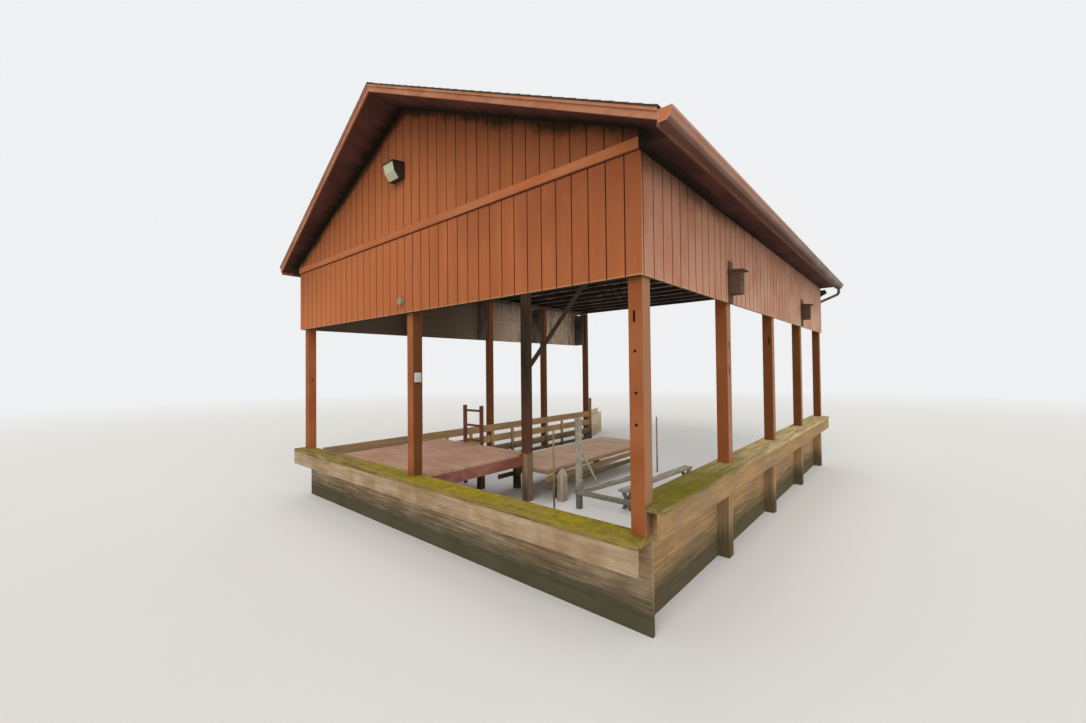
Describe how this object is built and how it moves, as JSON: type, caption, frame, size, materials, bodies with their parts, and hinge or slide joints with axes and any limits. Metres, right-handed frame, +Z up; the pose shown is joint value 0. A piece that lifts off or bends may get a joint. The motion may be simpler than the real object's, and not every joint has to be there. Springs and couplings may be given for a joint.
{
  "type": "open-sided timber boathouse",
  "caption": "Open-sided timber boathouse over a plank-walled slip, with grooved siding under a shingled gable roof, a deck, a finger dock and a hull cradle.",
  "frame": {"origin": "bottom centre of the whole object, at water level", "axes": "+Z up, +Y from the land front towards the lake, +X to the right seen from the land front"},
  "size_m": [8.382, 11.992, 6.4677],
  "materials": {
    "painted_siding": "solid stain, rough sawn",
    "painted_posts": "solid stain on sawn timber",
    "painted_trim": "faded paint",
    "soffit_paint": "faded dark paint",
    "shingle": "mineral granules, rough",
    "dark_timber": "weathered, rough",
    "deck_stain": "worn stain",
    "weathered_timber": "bare, weathered",
    "mossy_timber": "weathered, with moss",
    "brown_metal": "satin enamel",
    "grey_metal": "satin"
  },
  "bodies": {
    "root": {"front_siding": "painted_siding", "left_siding": "painted_siding", "right_siding": "painted_siding", "front_gable_siding": "painted_siding", "back_gable_siding": "painted_siding", "drip_boards": "painted_siding", "left_posts": "painted_posts", "right_posts": "painted_posts", "front_middle_post": "painted_posts", "left_rake_boards": "painted_trim", "right_rake_boards": "painted_trim", "eave_fascias": "painted_trim", "left_rake_soffits": "soffit_paint", "right_rake_soffits": "soffit_paint", "side_soffits": "soffit_paint", "left_roof_slope": "shingle", "right_roof_slope": "shingle", "inner_post": "dark_timber", "knee_brace": "dark_timber", "centre_beam": "dark_timber", "post_plates": "dark_timber", "truss_bottom_chords": "dark_timber", "left_top_chords": "dark_timber", "right_top_chords": "dark_timber", "truss_webs": "dark_timber", "ceiling_runners": "dark_timber", "front_wall_frame": "dark_timber", "front_wall_plates": "dark_timber", "side_girts": "dark_timber", "left_post_brackets": "dark_timber", "deck_boards": "deck_stain", "deck_ledgers": "deck_stain", "deck_joists": "deck_stain", "dock_boards": "deck_stain", "ladder": "deck_stain", "inner_sister_board": "weathered_timber", "deck_piles": "weathered_timber", "dock_stringers": "weathered_timber", "dock_joists": "weathered_timber", "dock_piles": "weathered_timber", "front_bulkhead": "weathered_timber", "right_bulkhead": "weathered_timber", "right_bulkhead_piles": "weathered_timber", "left_bulkhead": "weathered_timber", "left_bulkhead_uprights": "weathered_timber", "left_wing_wall": "weathered_timber", "cradle_uprights": "weathered_timber", "cradle_cross_beams": "weathered_timber", "cradle_bunks": "weathered_timber", "fender_board": "weathered_timber", "guide_poles": "weathered_timber", "nest_boxes": "weathered_timber", "front_sill": "mossy_timber", "right_cap": "mossy_timber", "right_gutter": "brown_metal", "downspout": "brown_metal", "corner_flood_light": "brown_metal", "wall_light": "brown_metal", "lamp_holder": "grey_metal", "outlet_box": "grey_metal"}
  },
  "joints": []
}
